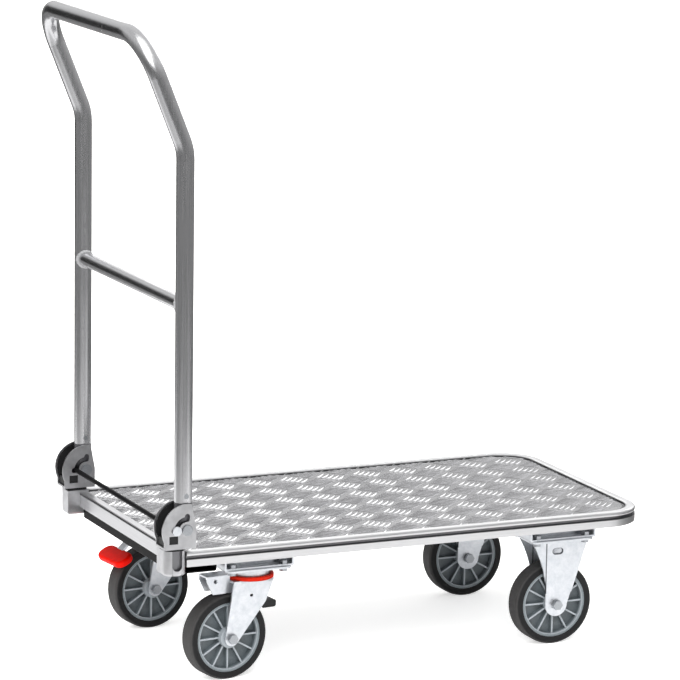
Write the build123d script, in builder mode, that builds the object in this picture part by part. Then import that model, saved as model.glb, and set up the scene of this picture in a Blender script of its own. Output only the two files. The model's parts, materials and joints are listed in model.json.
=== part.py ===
from build123d import *
import math
import os

# Folding platform trolley: an aluminium edge frame round a tread-plate deck, a bent
# push handle that folds forward on two hinges, two swivel casters at the handle end
# and two fixed casters at the front.  Millimetres, +X forward, +Z up, floor at Z = 0.

# Platform frame and deck
platform_length = 775.0
platform_width = 430.0
platform_rise = 40.5
rail_height = 22.0
rail_width = 15.0
rail_wall = 2.2
bead_height = 6.5
groove_height = 4.5
groove_depth = 4.0
ledge_width = 9.0
corner_radius = 65.0
deck_thickness = 2.5
deck_drop = 3.0
deck_gap = 0.3
tongue_length = 22.0
tongue_gap = 0.2

# Push handle
leg_side_inset = 11.3
leg_inset = 30.0
tube_od = 26.0
tube_wall = 2.0
kink_height = 780.0
grip_height = 940.0
grip_setback = 65.0
kink_radius = 75.0
bend_radius = 60.0
brace_height = 560.0
brace_od = 21.0
brace_wall = 1.5
plug_gap = 0.1
plug_length = 32.0
tube_foot_rise = 38.0
rivet_d = 5.0
rivet_rise = 10.0

# Folding hinge and its lock
pivot_rise = 33.5
pivot_d = 10.0
pivot_head_d = 16.0
pivot_head_height = 2.5
running_gap = 0.05
side_gap = 1.75
cheek_thickness = 2.5
guard_radius = 38.0
guard_top = 80.0
guard_end = 205.0
nose_radius = 13.5
nose_end = 10.0
base_drop = 24.0
base_thickness = 3.0
pad_thickness = 3.0
pad_inset = 1.5
rod_d = 7.0
rod_radius = 16.0
lock_travel = 4.0
slot_gap = 0.4
lug_margin = 3.5
lug_width = 14.0
stop_gap = 0.3
stop_back = 27.0
stop_depth = 13.0
stop_sill = 5.0
trim_thickness = 1.3
trim_rim = 2.5
trim_top = 100.0
trim_web = 4.0
trim_web_height = 12.0
cap_d = 14.0
cap_thickness = 2.5
cap_gap = 0.4
screw_d = 6.0
screw_head_d = 9.5
screw_pitch = 16.0
screw_back = 4.0
screw_head_height = 4.0
screw_length = 18.0

# Cast corner brackets
bracket_height = 37.0
bracket_reach = 2.0
bracket_overhang = 1.0
bracket_margin = 4.0
rear_recess = 18.0
bracket_round = 15.0
bracket_recess = 6.0
bracket_recess_width = 15.0
bracket_recess_rise = 8.0

# Casters
wheel_d = 125.0
wheel_width = 30.0
tread_thickness = 11.0
rim_thickness = 4.5
rim_width = 27.0
rib_count = 12
rib_thickness = 2.4
rib_width = 21.0
web_thickness = 4.0
boss_d = 30.0
boss_length = 36.0
bush_od = 20.0
sleeve_d = 12.0
axle_d = 8.0
axle_head_af = 13.0
axle_head_height = 6.0
hole_gap = 0.2
fork_inner = 42.0
fork_sheet = 3.0
caster_rise = 41.0
plate_thickness = 3.0
plate_length = 102.0
plate_width = 88.0
bolt_pitch_x = 80.0
bolt_pitch_y = 66.0
bolt_d = 8.0
bolt_head_d = 13.0
bolt_head_height = 5.0
track_inset = 64.0
swivel_inset = 154.0
fixed_inset = 132.5
trail = 40.0
rest_yaw = 7.0
axle_lobe = 11.0
leg_back = 37.0
leg_front = 29.0
knee_front = 15.0
knee_drop = 34.0
spare_hole_d = 5.0
spare_hole_back = 8.5
spare_hole_drop = 22.5
fixed_lobe = 18.0
fixed_shoulder = 51.0
fixed_shoulder_back = 44.0
fixed_waist = 24.0
fixed_waist_drop = 45.0
flange_step = 2.0
fixed_hole_length = 16.0
fixed_hole_width = 8.0
fixed_hole_drop = 18.0
crown_drop = 20.0
crown_d = 72.0
ring_od = 73.0
ring_height = 6.0
race_d = 60.0
race_gap = 0.3
king_pin_d = 12.0
king_head_d = 20.0
king_head_height = 5.0

# Brake housing on each swivel fork, brake lever on the left one
housing_width = 26.0
housing_sheet = 2.5
housing_length = 37.0
housing_rise = 9.0
brake_pivot_back = 62.0
brake_pivot_drop = 8.0
brake_pin_d = 6.0
pedal_back = 96.0
pedal_drop = 33.0
pedal_tilt = 28.0
pedal_width = 76.0
pedal_length = 30.0
pedal_thickness = 11.0
pedal_round = 14.0
lever_width = 16.0
lever_thickness = 4.0
housing_depth = 27.0
buffer_front = 34.0
buffer_length = 24.0
buffer_drop = 11.0
buffer_depth = 11.0

# Cross members under the deck
member_sheet = 3.0
member_margin = 3.0
stiffener_shift = 20.0
beam_under_rail = 9.0
beam_width = 67.0
beam_height = 18.0
beam_wall = 2.0
beam_round = 3.0

# Derived places
caster_height = wheel_d + caster_rise
rim_height = caster_height + platform_rise
overall_length = platform_length + grip_setback + tube_od / 2 - leg_inset
front_x = overall_length / 2
rear_x = front_x - platform_length
leg_x = rear_x + leg_inset
leg_spacing = platform_width - 2 * leg_side_inset
leg_y = leg_spacing / 2
side_y = platform_width / 2
rail_bottom = rim_height - rail_height
pivot_height = rim_height + pivot_rise
tube_foot_height = pivot_height + tube_foot_rise
deck_top = rim_height - deck_drop
deck_bottom = deck_top - deck_thickness
hinge_gap = tube_od + 2 * side_gap
hinge_half = hinge_gap / 2 + cheek_thickness
outer_y = leg_y + hinge_half
inner_y = leg_y - hinge_half
bracket_inner = inner_y - bracket_margin
rear_rail_x = rear_x + rear_recess
base_top = pivot_height - base_drop
pad_top = base_top - base_thickness
bracket_top = pad_top - pad_thickness
bracket_bottom = bracket_top - bracket_height
bracket_rear = rear_x - bracket_overhang
bracket_front = leg_x + bracket_reach
axle_z = wheel_d / 2
swivel_x = rear_x + swivel_inset
fixed_x = front_x - fixed_inset
track_y = side_y - track_inset
fork_outer = fork_inner + 2 * fork_sheet
plate_bottom = caster_height - plate_thickness
crown_top = caster_height - crown_drop
knee_height = crown_top - knee_drop
spare_hole_height = crown_top - spare_hole_drop
buffer_height = knee_height - buffer_drop
fixed_waist_height = plate_bottom - fixed_waist_drop
housing_height = crown_top + housing_rise
housing_low = housing_height - housing_depth
brake_pivot_height = housing_height - brake_pivot_drop
pedal_height = brake_pivot_height - pedal_drop
member_length = plate_length + 2 * member_margin
foot_radius = tube_od / 2
screw_x = leg_x - screw_back
screw_spots = [(screw_x, leg_y + end * screw_pitch / 2) for end in (1, -1)]
slot_width = rod_d + 2 * slot_gap
lug_radius = rod_radius + lock_travel + rod_d / 2 + slot_gap + lug_margin
lug_half = rod_d / 2 + slot_gap + lug_margin
trim_inner = rod_radius + lock_travel + slot_width / 2 + slot_gap

os.makedirs("parts", exist_ok=True)


def write(part, name, place=None):
    """Labels one finished piece, puts it in its place and writes it."""
    piece = part if place is None else part.moved(place)
    piece.label = name
    export_step(piece, f"parts/{name}.step")


def write_group(parts, name):
    """Writes several loose solids of one kind as one node."""
    group = Compound(children=parts)
    group.label = name
    export_step(group, f"parts/{name}.step")


def hinge_plane(y):
    """Side view plane through the left hinge pivot: local x forward, local y up."""
    return Plane(origin=(leg_x, y, pivot_height), x_dir=(1, 0, 0), z_dir=(0, -1, 0))


def around(angle, radius):
    """Point of the hinge's side view at an angle from straight ahead."""
    return (radius * math.cos(math.radians(angle)), radius * math.sin(math.radians(angle)))


def rail_profile(plane, groove):
    """Edge profile: bead, groove and skirt outside, deck ledge inside, hollow core."""
    ledge = deck_bottom
    skirt = rim_height - bead_height - groove_height
    with BuildSketch(plane) as profile:
        with BuildLine():
            Polyline(
                (0, rail_bottom),
                (0, rim_height),
                (rail_width, rim_height),
                (rail_width, ledge),
                (rail_width + ledge_width, ledge),
                (rail_width + ledge_width, ledge - rail_wall),
                (rail_width, ledge - rail_wall),
                (rail_width, rail_bottom),
                close=True,
            )
        make_face()
        fillet(profile.vertices().group_by(Axis.Y)[-1], radius=0.45 * bead_height)
        if groove > 0:
            with Locations((0, skirt)):
                Rectangle(groove, groove_height, align=(Align.MIN, Align.MIN), mode=Mode.SUBTRACT)
            bead_edge = profile.vertices().sort_by_distance((0, rim_height - bead_height, 0))[0]
            fillet(bead_edge, radius=0.3 * bead_height)
        core_low = rail_bottom + rail_wall
        core_high = rim_height - bead_height
        core_wide = rail_width - groove - 2 * rail_wall
        with Locations((rail_width - rail_wall - core_wide / 2, (core_low + core_high) / 2)):
            Rectangle(core_wide, core_high - core_low, mode=Mode.SUBTRACT)
    return profile


# Edge frame: one profile bent round both front corners
frame_start = bracket_front
frame_plane = Plane(origin=(frame_start, -side_y, 0), x_dir=(0, 1, 0), z_dir=(1, 0, 0))
frame_section = rail_profile(frame_plane, groove_depth)
with BuildPart() as edge_frame:
    with BuildLine() as frame_path:
        FilletPolyline(
            (frame_start, -side_y),
            (front_x, -side_y),
            (front_x, side_y),
            (frame_start, side_y),
            radius=corner_radius,
        )
    sweep(sections=frame_section.sketch, path=frame_path.wire())
write(edge_frame.part, "edge_frame")

# Rear rail: the same profile without its groove, straight, set in between the corner brackets
rear_plane = Plane(origin=(rear_rail_x, bracket_inner, 0), x_dir=(1, 0, 0), z_dir=(0, -1, 0))
rear_section = rail_profile(rear_plane, 0)
with BuildPart() as rear_rail:
    extrude(rear_section.sketch, amount=2 * bracket_inner)
write(rear_rail.part, "rear_rail")

# Deck plate: flat sheet on the ledges, from the rear rail to the rounded front corners
deck_front = front_x - rail_width - deck_gap
deck_rear = max(rear_rail_x + rail_width, bracket_front) + deck_gap
deck_side = side_y - rail_width - deck_gap
with BuildPart() as deck_plate:
    with BuildSketch(Plane.XY.offset(deck_bottom)) as deck_outline:
        with Locations(((deck_front + deck_rear) / 2, 0)):
            Rectangle(deck_front - deck_rear, 2 * deck_side)
        fillet(
            deck_outline.vertices().group_by(Axis.X)[-1],
            radius=corner_radius - rail_width - deck_gap,
        )
    extrude(amount=deck_thickness)
write(deck_plate.part, "deck_plate")

# Corner bracket: rounded casting with a tongue into each rail and a recess outside
core_wide = rail_width - groove_depth - 2 * rail_wall
core_low = rail_bottom + rail_wall
core_high = rim_height - bead_height
core_offset = rail_width - rail_wall - core_wide / 2
rear_wide = rail_width - 2 * rail_wall
rear_offset = rail_width / 2
with BuildPart() as corner_bracket:
    with BuildSketch(Plane.XY.offset(bracket_bottom)) as post:
        with Locations(((bracket_rear + bracket_front) / 2, (bracket_inner + outer_y) / 2)):
            Rectangle(bracket_front - bracket_rear, outer_y - bracket_inner)
        fillet(post.vertices().group_by(Axis.Y)[-1], radius=bracket_round)
    extrude(amount=bracket_height)
    fillet(corner_bracket.faces().sort_by(Axis.Z)[0].edges(), radius=bracket_round / 3.5)
    recess_plane = Plane(
        origin=((bracket_rear + bracket_front) / 2, outer_y, (bracket_top + bracket_bottom) / 2),
        x_dir=(1, 0, 0),
        z_dir=(0, -1, 0),
    )
    with BuildSketch(recess_plane):
        with Locations((0, bracket_recess_rise)):
            SlotOverall(bracket_height, bracket_recess_width, rotation=90)
    extrude(amount=bracket_recess, mode=Mode.SUBTRACT)
    side_tongue = Plane(
        origin=(bracket_front - bracket_margin, side_y - core_offset, (core_low + core_high) / 2),
        x_dir=(0, 1, 0),
        z_dir=(1, 0, 0),
    )
    with BuildSketch(side_tongue):
        Rectangle(core_wide - 2 * tongue_gap, core_high - core_low - 2 * tongue_gap)
    extrude(amount=tongue_length + bracket_margin)
    rear_tongue = Plane(
        origin=(rear_rail_x + rear_offset, bracket_inner, (core_low + core_high) / 2),
        x_dir=(1, 0, 0),
        z_dir=(0, -1, 0),
    )
    with BuildSketch(rear_tongue):
        Rectangle(rear_wide - 2 * tongue_gap, core_high - core_low - 2 * tongue_gap)
    extrude(amount=tongue_length)
    with Locations([(x, y, bracket_top) for x, y in screw_spots]):
        Hole(screw_d / 2, depth=screw_length)

# Hinge pad: thin black plastic layer between bracket and hinge
pad_length = bracket_front - bracket_rear - 2 * pad_inset
with BuildPart() as hinge_pad:
    with BuildSketch(Plane.XY.offset(bracket_top)) as pad_shape:
        with Locations(((bracket_rear + bracket_front) / 2, leg_y)):
            Rectangle(pad_length, 2 * hinge_half - 2 * pad_inset)
        fillet(pad_shape.vertices().group_by(Axis.Y)[-1], radius=bracket_round - pad_inset)
    extrude(amount=pad_thickness)
    with Locations([(x, y, pad_top) for x, y in screw_spots]):
        Hole(screw_d / 2)

# Hinge bracket: two cheeks on a base, each with an arc slot that ends in two notches
cheek_low = -base_drop - base_thickness
stop_low = -base_drop + stop_sill
stop_high = -lug_half - stop_gap
stop_middle = (-stop_back + stop_depth / 2, (stop_low + stop_high) / 2)
guard_low = around(guard_end, guard_radius)
guard_high = around(guard_top, guard_radius)
with BuildPart() as hinge_bracket:
    with BuildSketch(hinge_plane(outer_y)):
        Circle(nose_radius)
        with BuildLine():
            RadiusArc(guard_high, guard_low, -guard_radius)
            Polyline(
                guard_low,
                (guard_low[0], cheek_low),
                (nose_radius, cheek_low),
                (nose_radius, 0),
                around(nose_end, nose_radius),
                guard_high,
            )
        make_face()
    extrude(amount=2 * hinge_half)
    with BuildSketch(hinge_plane(outer_y - cheek_thickness)):
        with Locations((0, -base_drop)):
            Rectangle(4 * guard_radius, 4 * guard_radius, align=(Align.CENTER, Align.MIN))
    extrude(amount=hinge_gap, mode=Mode.SUBTRACT)
    with BuildSketch(hinge_plane(outer_y)):
        Circle(rod_radius + slot_width / 2)
        Circle(rod_radius - slot_width / 2, mode=Mode.SUBTRACT)
        Rectangle(guard_radius, guard_radius, align=(Align.MAX, Align.MIN), mode=Mode.INTERSECT)
        with Locations((-rod_radius - lock_travel / 2, 0)):
            SlotCenterToCenter(lock_travel, slot_width)
        with Locations((0, rod_radius + lock_travel / 2)):
            SlotCenterToCenter(lock_travel, slot_width, rotation=90)
        with Locations(stop_middle):
            Rectangle(stop_depth + slot_gap, stop_high - stop_low + slot_gap)
        Circle(pivot_d / 2)
    extrude(amount=2 * hinge_half, mode=Mode.SUBTRACT)
    with Locations([(x, y, base_top) for x, y in screw_spots]):
        Hole(screw_d / 2, depth=base_thickness)

# Hinge trim: black U-shaped liner, a crescent inside each cheek joined at the back
with BuildPart() as hinge_trim:
    for face in (leg_y + hinge_gap / 2, leg_y - hinge_gap / 2 + trim_thickness):
        with BuildSketch(hinge_plane(face)):
            Circle(guard_radius - trim_rim)
            Circle(trim_inner, mode=Mode.SUBTRACT)
            with BuildLine():
                Polyline(
                    (0, 0),
                    around(trim_top, 2 * guard_radius),
                    around((trim_top + guard_end) / 2, 2 * guard_radius),
                    around(guard_end, 2 * guard_radius),
                    close=True,
                )
            make_face(mode=Mode.INTERSECT)
            with Locations(stop_middle):
                Rectangle(stop_depth + 2 * slot_gap, stop_high - stop_low + 2 * slot_gap, mode=Mode.SUBTRACT)
        extrude(amount=trim_thickness)
    with BuildSketch(Plane.XY.offset(base_top)):
        with Locations((leg_x + guard_low[0] + trim_rim, leg_y)):
            Rectangle(trim_web, hinge_gap, align=(Align.MIN, Align.CENTER))
    extrude(amount=trim_web_height)

# Stop block: black buffer under the upright leg's lug, with an ear through each cheek
with BuildPart() as stop_block:
    with BuildSketch(Plane.XY.offset(base_top)):
        with Locations((leg_x + stop_middle[0], leg_y)):
            RectangleRounded(stop_depth, hinge_gap - 2 * stop_gap, stop_depth / 5)
    extrude(amount=stop_high + base_drop)
    with BuildSketch(Plane.XY.offset(base_top + stop_sill)):
        with Locations((leg_x + stop_middle[0], leg_y)):
            Rectangle(stop_depth, 2 * hinge_half)
    extrude(amount=stop_high - stop_low)

# Pivot bolt: low head outside, riveted head inside
with BuildPart() as pivot_bolt:
    with BuildSketch(hinge_plane(outer_y + pivot_head_height)):
        Circle(pivot_head_d / 2)
    extrude(amount=pivot_head_height)
    fillet(pivot_bolt.edges().filter_by(GeomType.CIRCLE).sort_by(Axis.Y)[-1], radius=pivot_head_height / 2)
    with BuildSketch(hinge_plane(outer_y)):
        Circle(pivot_d / 2)
    extrude(amount=2 * hinge_half)
    with BuildSketch(hinge_plane(inner_y)):
        Circle(pivot_head_d / 2)
    extrude(amount=pivot_head_height)

# Hinge screw: socket head on the hinge base, shank into the corner bracket
with BuildPart() as hinge_screw:
    with BuildSketch(Plane.XY):
        Circle(screw_head_d / 2)
    extrude(amount=screw_head_height)
    with BuildSketch(Plane.XY.offset(screw_head_height)):
        RegularPolygon(screw_d / 3, 6)
    extrude(amount=-screw_head_height / 2, mode=Mode.SUBTRACT)
    with BuildSketch(Plane.XY):
        Circle(screw_d / 2)
    extrude(amount=-(base_thickness + pad_thickness + screw_length))

# Push tube: one bent tube from hinge to hinge
with BuildPart() as push_tube:
    with BuildLine() as tube_path:
        FilletPolyline(
            (leg_x, -leg_y, tube_foot_height),
            (leg_x, -leg_y, kink_height),
            (leg_x - grip_setback, -leg_y, grip_height),
            (leg_x - grip_setback, leg_y, grip_height),
            (leg_x, leg_y, kink_height),
            (leg_x, leg_y, tube_foot_height),
            radius=(kink_radius, bend_radius, bend_radius, kink_radius),
        )
    with BuildSketch(Plane(origin=(leg_x, -leg_y, tube_foot_height), z_dir=(0, 0, 1))):
        Circle(tube_od / 2)
        Circle(tube_od / 2 - tube_wall, mode=Mode.SUBTRACT)
    sweep(path=tube_path.wire())
    rivet_height = tube_foot_height + rivet_rise
    with Locations(Plane(origin=(leg_x, 0, rivet_height), z_dir=(0, 1, 0))):
        Cylinder(rivet_d / 2, 2 * leg_spacing, mode=Mode.SUBTRACT)

# Cross brace: thinner tube, coped and welded to both legs
with BuildPart() as cross_brace:
    brace_plane = Plane(origin=(leg_x, leg_y, brace_height), x_dir=(1, 0, 0), z_dir=(0, -1, 0))
    with BuildSketch(brace_plane):
        Circle(brace_od / 2)
    extrude(amount=leg_spacing)
    with BuildSketch(brace_plane):
        Circle(brace_od / 2 - brace_wall)
    extrude(amount=leg_spacing, mode=Mode.SUBTRACT)
    with Locations((leg_x, leg_y, brace_height), (leg_x, -leg_y, brace_height)):
        Cylinder(tube_od / 2, 4 * brace_od, mode=Mode.SUBTRACT)

# Leg foot: plug in the tube, pivot boss, and a lug that carries the lock rod
with BuildPart() as leg_foot:
    with BuildSketch(hinge_plane(leg_y)):
        with Locations((-lug_radius, 0)):
            Rectangle(lug_radius, 2 * lug_half, align=(Align.MIN, Align.CENTER))
    extrude(amount=lug_width / 2, both=True)
    lug_corners = leg_foot.edges().filter_by(Axis.Y).group_by(Axis.X)[0]
    fillet(lug_corners, radius=lug_margin)
    with BuildSketch(hinge_plane(leg_y)):
        Circle(foot_radius)
    extrude(amount=foot_radius, both=True)
    with BuildSketch(Plane(origin=(leg_x, leg_y, pivot_height), z_dir=(0, 0, 1))):
        Circle(foot_radius)
    extrude(amount=tube_foot_height - pivot_height)
    with BuildSketch(Plane(origin=(leg_x, leg_y, tube_foot_height), z_dir=(0, 0, 1))):
        Circle(tube_od / 2 - tube_wall - plug_gap)
    extrude(amount=plug_length)
    with BuildSketch(hinge_plane(leg_y)):
        Circle(pivot_d / 2 + running_gap)
        with Locations((-rod_radius - lock_travel / 2, 0)):
            SlotCenterToCenter(lock_travel, slot_width)
        with Locations((0, rivet_height - pivot_height)):
            Circle(rivet_d / 2)
    extrude(amount=tube_od, both=True, mode=Mode.SUBTRACT)

# Foot rivet: holds each tube on its foot
with BuildPart() as foot_rivet:
    with BuildSketch(Plane(origin=(leg_x, leg_y, rivet_height), z_dir=(0, 1, 0))):
        Circle(rivet_d / 2)
    extrude(amount=tube_od / 2, both=True)
    for end in (1, -1):
        with BuildSketch(Plane(origin=(leg_x, leg_y + end * tube_od / 2, rivet_height), z_dir=(0, end, 0))):
            Circle(0.7 * rivet_d)
        extrude(amount=rivet_d / 6)

# Release rod: black lock bar from hinge to hinge
with BuildPart() as release_rod:
    with BuildSketch(Plane(origin=(leg_x - rod_radius, 0, pivot_height), z_dir=(0, 1, 0))):
        Circle(rod_d / 2)
    extrude(amount=outer_y + cap_gap + cap_thickness / 2, both=True)

# Rod cap: bright cap pushed on each end of the rod, outside the cheek
with BuildPart() as rod_cap:
    with BuildSketch(hinge_plane(outer_y + cap_gap + cap_thickness)):
        with Locations((-rod_radius, 0)):
            Circle(cap_d / 2)
    extrude(amount=cap_thickness)
    fillet(rod_cap.edges().sort_by(Axis.Y)[-1], radius=cap_thickness / 3)
    with BuildSketch(hinge_plane(outer_y + cap_gap + cap_thickness / 2)):
        with Locations((-rod_radius, 0)):
            Circle(rod_d / 2)
    extrude(amount=cap_thickness, mode=Mode.SUBTRACT)

write(push_tube.part, "push_tube")
write(cross_brace.part, "cross_brace")
write(release_rod.part, "release_rod")

# Hinge pieces are modelled on the left and mirrored to the right
screws = [hinge_screw.part.moved(Location((x, y, base_top))) for x, y in screw_spots]
pairs = {
    "corner_bracket": corner_bracket.part,
    "hinge_pad": hinge_pad.part,
    "hinge_bracket": hinge_bracket.part,
    "hinge_trim": hinge_trim.part,
    "stop_block": stop_block.part,
    "pivot_bolt": pivot_bolt.part,
    "leg_foot": leg_foot.part,
}
for name, left in pairs.items():
    right = mirror(left, about=Plane.XZ)
    write(left, name + "_left")
    write(right, name + "_right")
write_group(screws + [mirror(s, about=Plane.XZ) for s in screws], "hinge_screws")
write_group([foot_rivet.part, mirror(foot_rivet.part, about=Plane.XZ)], "foot_rivets")
write_group([rod_cap.part, mirror(rod_cap.part, about=Plane.XZ)], "rod_caps")

# Rear beam: black rectangular tube under the rear rail, between the corner brackets
beam_rear = rear_rail_x + rail_width - beam_under_rail
beam_side = bracket_inner - deck_gap
with BuildPart() as rear_beam:
    with BuildSketch(Plane(origin=(beam_rear, beam_side, rail_bottom), x_dir=(1, 0, 0), z_dir=(0, -1, 0))):
        with Locations((beam_width / 2, -beam_height / 2)):
            RectangleRounded(beam_width, beam_height, beam_round)
            RectangleRounded(
                beam_width - 2 * beam_wall,
                beam_height - 2 * beam_wall,
                beam_round - beam_wall,
                mode=Mode.SUBTRACT,
            )
    extrude(amount=2 * beam_side)
write(rear_beam.part, "rear_beam")

# Cross members: open channels between the rails, under the deck, that carry the caster plates
bay_side = side_y - rail_width - ledge_width - deck_gap
member_rise = deck_bottom - caster_height
for name, x in (("rear_cross_member", swivel_x), ("front_cross_member", fixed_x)):
    with BuildPart() as member:
        with BuildSketch(Plane(origin=(x, bay_side, caster_height), x_dir=(1, 0, 0), z_dir=(0, -1, 0))):
            with Locations((0, member_rise / 2)):
                Rectangle(member_length, member_rise)
            with Locations((0, member_sheet)):
                Rectangle(
                    member_length - 2 * member_sheet,
                    member_rise,
                    align=(Align.CENTER, Align.MIN),
                    mode=Mode.SUBTRACT,
                )
        extrude(amount=2 * bay_side)
        for end in (1, -1):
            wall_y = end * (track_y + stiffener_shift) + member_sheet / 2
            with BuildSketch(Plane(origin=(x, wall_y, caster_height), x_dir=(1, 0, 0), z_dir=(0, -1, 0))):
                with Locations((0, member_rise / 2)):
                    Rectangle(member_length, member_rise)
            extrude(amount=member_sheet)
        fillet(member.edges().filter_by(Axis.Y).group_by(Axis.Z)[0], radius=2 * member_sheet / 3)
        with Locations((x, track_y, caster_height + member_sheet), (x, -track_y, caster_height + member_sheet)):
            with GridLocations(bolt_pitch_x, bolt_pitch_y, 2, 2):
                Hole(bolt_d / 2 + hole_gap, depth=member_sheet)
    write(member.part, name)

# Caster bolt: head under the plate, nut above the cross member
with BuildPart() as caster_bolt:
    with BuildSketch(Plane.XY.offset(plate_bottom)):
        RegularPolygon(bolt_head_d / 2, 6)
    extrude(amount=-bolt_head_height)
    with BuildSketch(Plane.XY.offset(plate_bottom)):
        Circle(bolt_d / 2)
    extrude(amount=plate_thickness + member_sheet)
    with BuildSketch(Plane.XY.offset(caster_height + member_sheet)):
        RegularPolygon(bolt_head_d / 2, 6)
    extrude(amount=bolt_head_height)
for name, x in (("caster_bolts_rear", swivel_x), ("caster_bolts_front", fixed_x)):
    spots = [
        (x + i * bolt_pitch_x / 2, side * track_y + j * bolt_pitch_y / 2, 0)
        for side in (1, -1)
        for i in (1, -1)
        for j in (1, -1)
    ]
    write_group([caster_bolt.part.moved(Location(spot)) for spot in spots], name)

# Swivel plate: rounded top plate with the pressed ball race under it
with BuildPart() as swivel_plate:
    with BuildSketch(Plane.XY.offset(plate_bottom)):
        RectangleRounded(plate_length, plate_width, 10)
        with GridLocations(bolt_pitch_x, bolt_pitch_y, 2, 2):
            Circle(bolt_d / 2 + hole_gap, mode=Mode.SUBTRACT)
    extrude(amount=plate_thickness)
    with BuildSketch(Plane.XY.offset(plate_bottom)):
        Circle(race_d / 2)
    extrude(amount=-(plate_bottom - crown_top - race_gap))
    fillet(swivel_plate.edges().filter_by(GeomType.CIRCLE).sort_by(Axis.Z)[0], radius=2)
    with Locations((0, 0, caster_height)):
        Hole(king_pin_d / 2)

# King pin: holds the fork up under the ball race
king_low = crown_top - fork_sheet - race_gap
with BuildPart() as king_pin:
    with BuildSketch(Plane.XY.offset(king_low)):
        Circle(king_head_d / 2)
    extrude(amount=-king_head_height)
    fillet(king_pin.edges().sort_by(Axis.Z)[0], radius=king_head_height / 3)
    with BuildSketch(Plane.XY.offset(king_low)):
        Circle(king_pin_d / 2)
    extrude(amount=caster_height - king_low)

# Dust ring: red ring that rides on the fork crown round the ball race
with BuildPart() as dust_ring:
    with BuildSketch(Plane.XY.offset(crown_top)):
        Circle(ring_od / 2)
        Circle(race_d / 2 + 1, mode=Mode.SUBTRACT)
    extrude(amount=ring_height)
    fillet(dust_ring.edges().filter_by(GeomType.CIRCLE).group_by(SortBy.RADIUS)[-1], radius=ring_height / 4)


def side_plane(y):
    """Side view plane of a caster: local x forward, local y up from the floor."""
    return Plane(origin=(0, y, 0), x_dir=(1, 0, 0), z_dir=(0, -1, 0))


# Swivel fork: crown, two raked legs and the housing of the brake behind the crown
housing_front = ring_od / 2 + 2
housing_back = housing_front + housing_length
with BuildPart() as swivel_fork:
    with BuildSketch(Plane.XY.offset(crown_top - fork_sheet)):
        Circle(crown_d / 2)
        with Locations((-leg_back, 0)):
            Rectangle(leg_back + leg_front, fork_outer, align=(Align.MIN, Align.CENTER))
    extrude(amount=fork_sheet)
    with BuildSketch(side_plane(fork_outer / 2)):
        with Locations((-trail, axle_z)):
            Circle(axle_lobe)
        with BuildLine():
            Polyline((-leg_back, crown_top), (leg_front, crown_top), (knee_front, knee_height))
        make_hull()
    extrude(amount=fork_outer)
    with BuildSketch(Plane.XY.offset(crown_top - fork_sheet)):
        Rectangle(4 * leg_back, fork_inner)
    extrude(amount=-crown_top, mode=Mode.SUBTRACT)
    with BuildSketch(side_plane(housing_width / 2)):
        with BuildLine():
            Polyline(
                (-leg_back + 8, housing_low),
                (-leg_back + 8, crown_top - fork_sheet / 2),
                (-housing_front, crown_top - fork_sheet / 2),
                (-housing_front, housing_height),
                (-housing_back, housing_height),
                (-housing_back, brake_pivot_height),
                (-brake_pivot_back - 4, housing_low),
                close=True,
            )
        make_face()
    extrude(amount=housing_width)
    with BuildSketch(side_plane(housing_width / 2 - housing_sheet)):
        with Locations((-housing_back - 1, housing_height - housing_sheet)):
            Rectangle(
                housing_back - housing_front + 1,
                housing_height,
                align=(Align.MIN, Align.MAX),
            )
        with Locations((-housing_front, crown_top - fork_sheet)):
            Rectangle(housing_front, housing_height, align=(Align.MIN, Align.MAX))
    extrude(amount=housing_width - 2 * housing_sheet, mode=Mode.SUBTRACT)
    with BuildSketch(side_plane(fork_outer)):
        with Locations((-trail, axle_z)):
            Circle(axle_d / 2 + hole_gap)
        with Locations((-spare_hole_back, spare_hole_height)):
            Circle(spare_hole_d / 2)
        with Locations((-brake_pivot_back, brake_pivot_height)):
            Circle(brake_pin_d / 2)
    extrude(amount=2 * fork_outer, mode=Mode.SUBTRACT)
    with Locations((0, 0, crown_top)):
        Hole(king_pin_d / 2 + running_gap, depth=fork_sheet)

# Fork buffer: black moulded bar at the fork's leading edge
with BuildPart() as fork_buffer:
    with BuildSketch(side_plane(fork_inner / 2)):
        with Locations((buffer_front - buffer_length / 2, buffer_height + buffer_depth / 2)):
            RectangleRounded(buffer_length, buffer_depth, buffer_depth / 3)
    extrude(amount=fork_inner)

# Brake lever and its red pedal, on the left fork
pedal_run = pedal_back - brake_pivot_back
pedal_fall = brake_pivot_height - pedal_height
pedal_reach = math.hypot(pedal_run, pedal_fall)
lever_dir = Vector(-pedal_run / pedal_reach, 0, -pedal_fall / pedal_reach)
lever_up = Vector(-pedal_fall / pedal_reach, 0, pedal_run / pedal_reach)
lever_plane = Plane(
    origin=(-brake_pivot_back, 0, brake_pivot_height), x_dir=tuple(lever_dir), z_dir=tuple(lever_up)
)
pedal_lean = math.radians(pedal_tilt)
pedal_plane = Plane(
    origin=(-pedal_back, 0, pedal_height),
    x_dir=(-math.cos(pedal_lean), 0, -math.sin(pedal_lean)),
    z_dir=(-math.sin(pedal_lean), 0, math.cos(pedal_lean)),
)
tongue_end = pedal_reach + pedal_length / 4
with BuildPart() as brake_lever:
    with BuildSketch(lever_plane):
        Rectangle(tongue_end, lever_width, align=(Align.MIN, Align.CENTER))
    extrude(amount=lever_thickness / 2, both=True)
    with BuildSketch(side_plane(lever_width / 2)):
        with Locations((-brake_pivot_back, brake_pivot_height)):
            Circle(brake_pin_d / 2 + 2)
    extrude(amount=lever_width)
    with BuildSketch(side_plane(lever_width)):
        with Locations((-brake_pivot_back, brake_pivot_height)):
            Circle(brake_pin_d / 2 + running_gap)
    extrude(amount=2 * lever_width, mode=Mode.SUBTRACT)
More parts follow.
